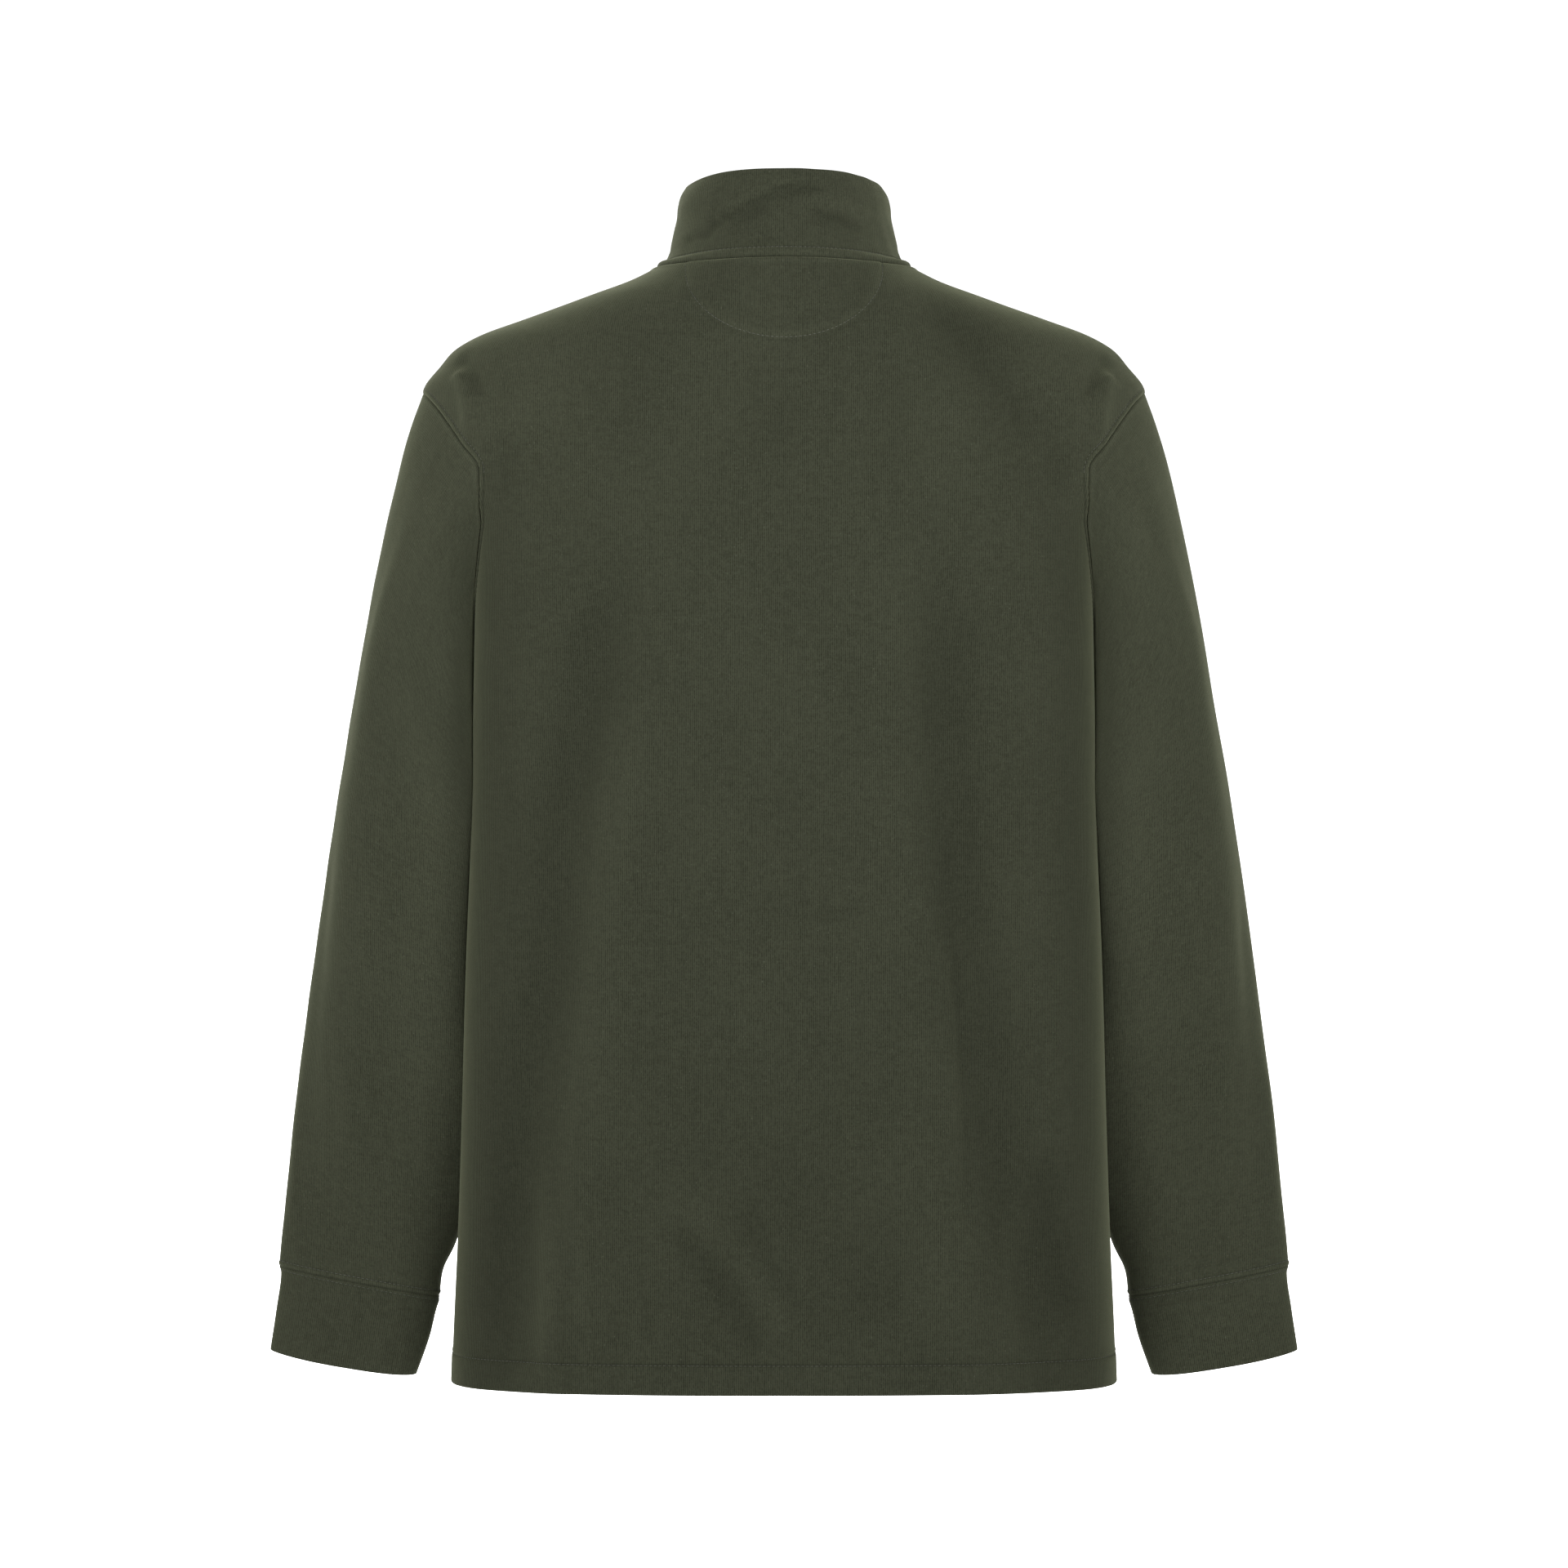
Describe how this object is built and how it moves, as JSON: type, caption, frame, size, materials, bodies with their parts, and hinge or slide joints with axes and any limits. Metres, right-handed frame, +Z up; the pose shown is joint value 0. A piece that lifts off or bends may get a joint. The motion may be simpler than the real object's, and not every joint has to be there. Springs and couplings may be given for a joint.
{
  "type": "long-sleeved polo shirt",
  "caption": "Long-sleeved rib-knit polo shirt with a stand collar and a short buttoned placket, filled out as worn, with no wearer.",
  "frame": {"origin": "middle of the neck, level with the points where the shoulder seams meet the collar", "axes": "+Z up towards the collar, -Y out of the shirt's front, +X towards the wearer's left sleeve"},
  "size_m": [0.682, 0.2536, 0.788],
  "materials": {
    "rib_knit": "matt dark olive cotton in a fine vertical rib of 1.35 mm",
    "patch_cloth": "matt dark olive cotton jersey",
    "button_plastic": "dark olive, satin"
  },
  "bodies": {
    "root": {"back_panel": "rib_knit", "front_panel": "rib_knit", "sleeve_left": "rib_knit", "sleeve_right": "rib_knit", "cuff_left": "rib_knit", "cuff_right": "rib_knit", "collar": "rib_knit", "half_moon_patch": "patch_cloth", "placket_under": "rib_knit", "placket_top": "rib_knit", "button_1": "button_plastic", "button_2": "button_plastic", "button_3": "button_plastic", "button_4": "button_plastic"}
  },
  "joints": []
}
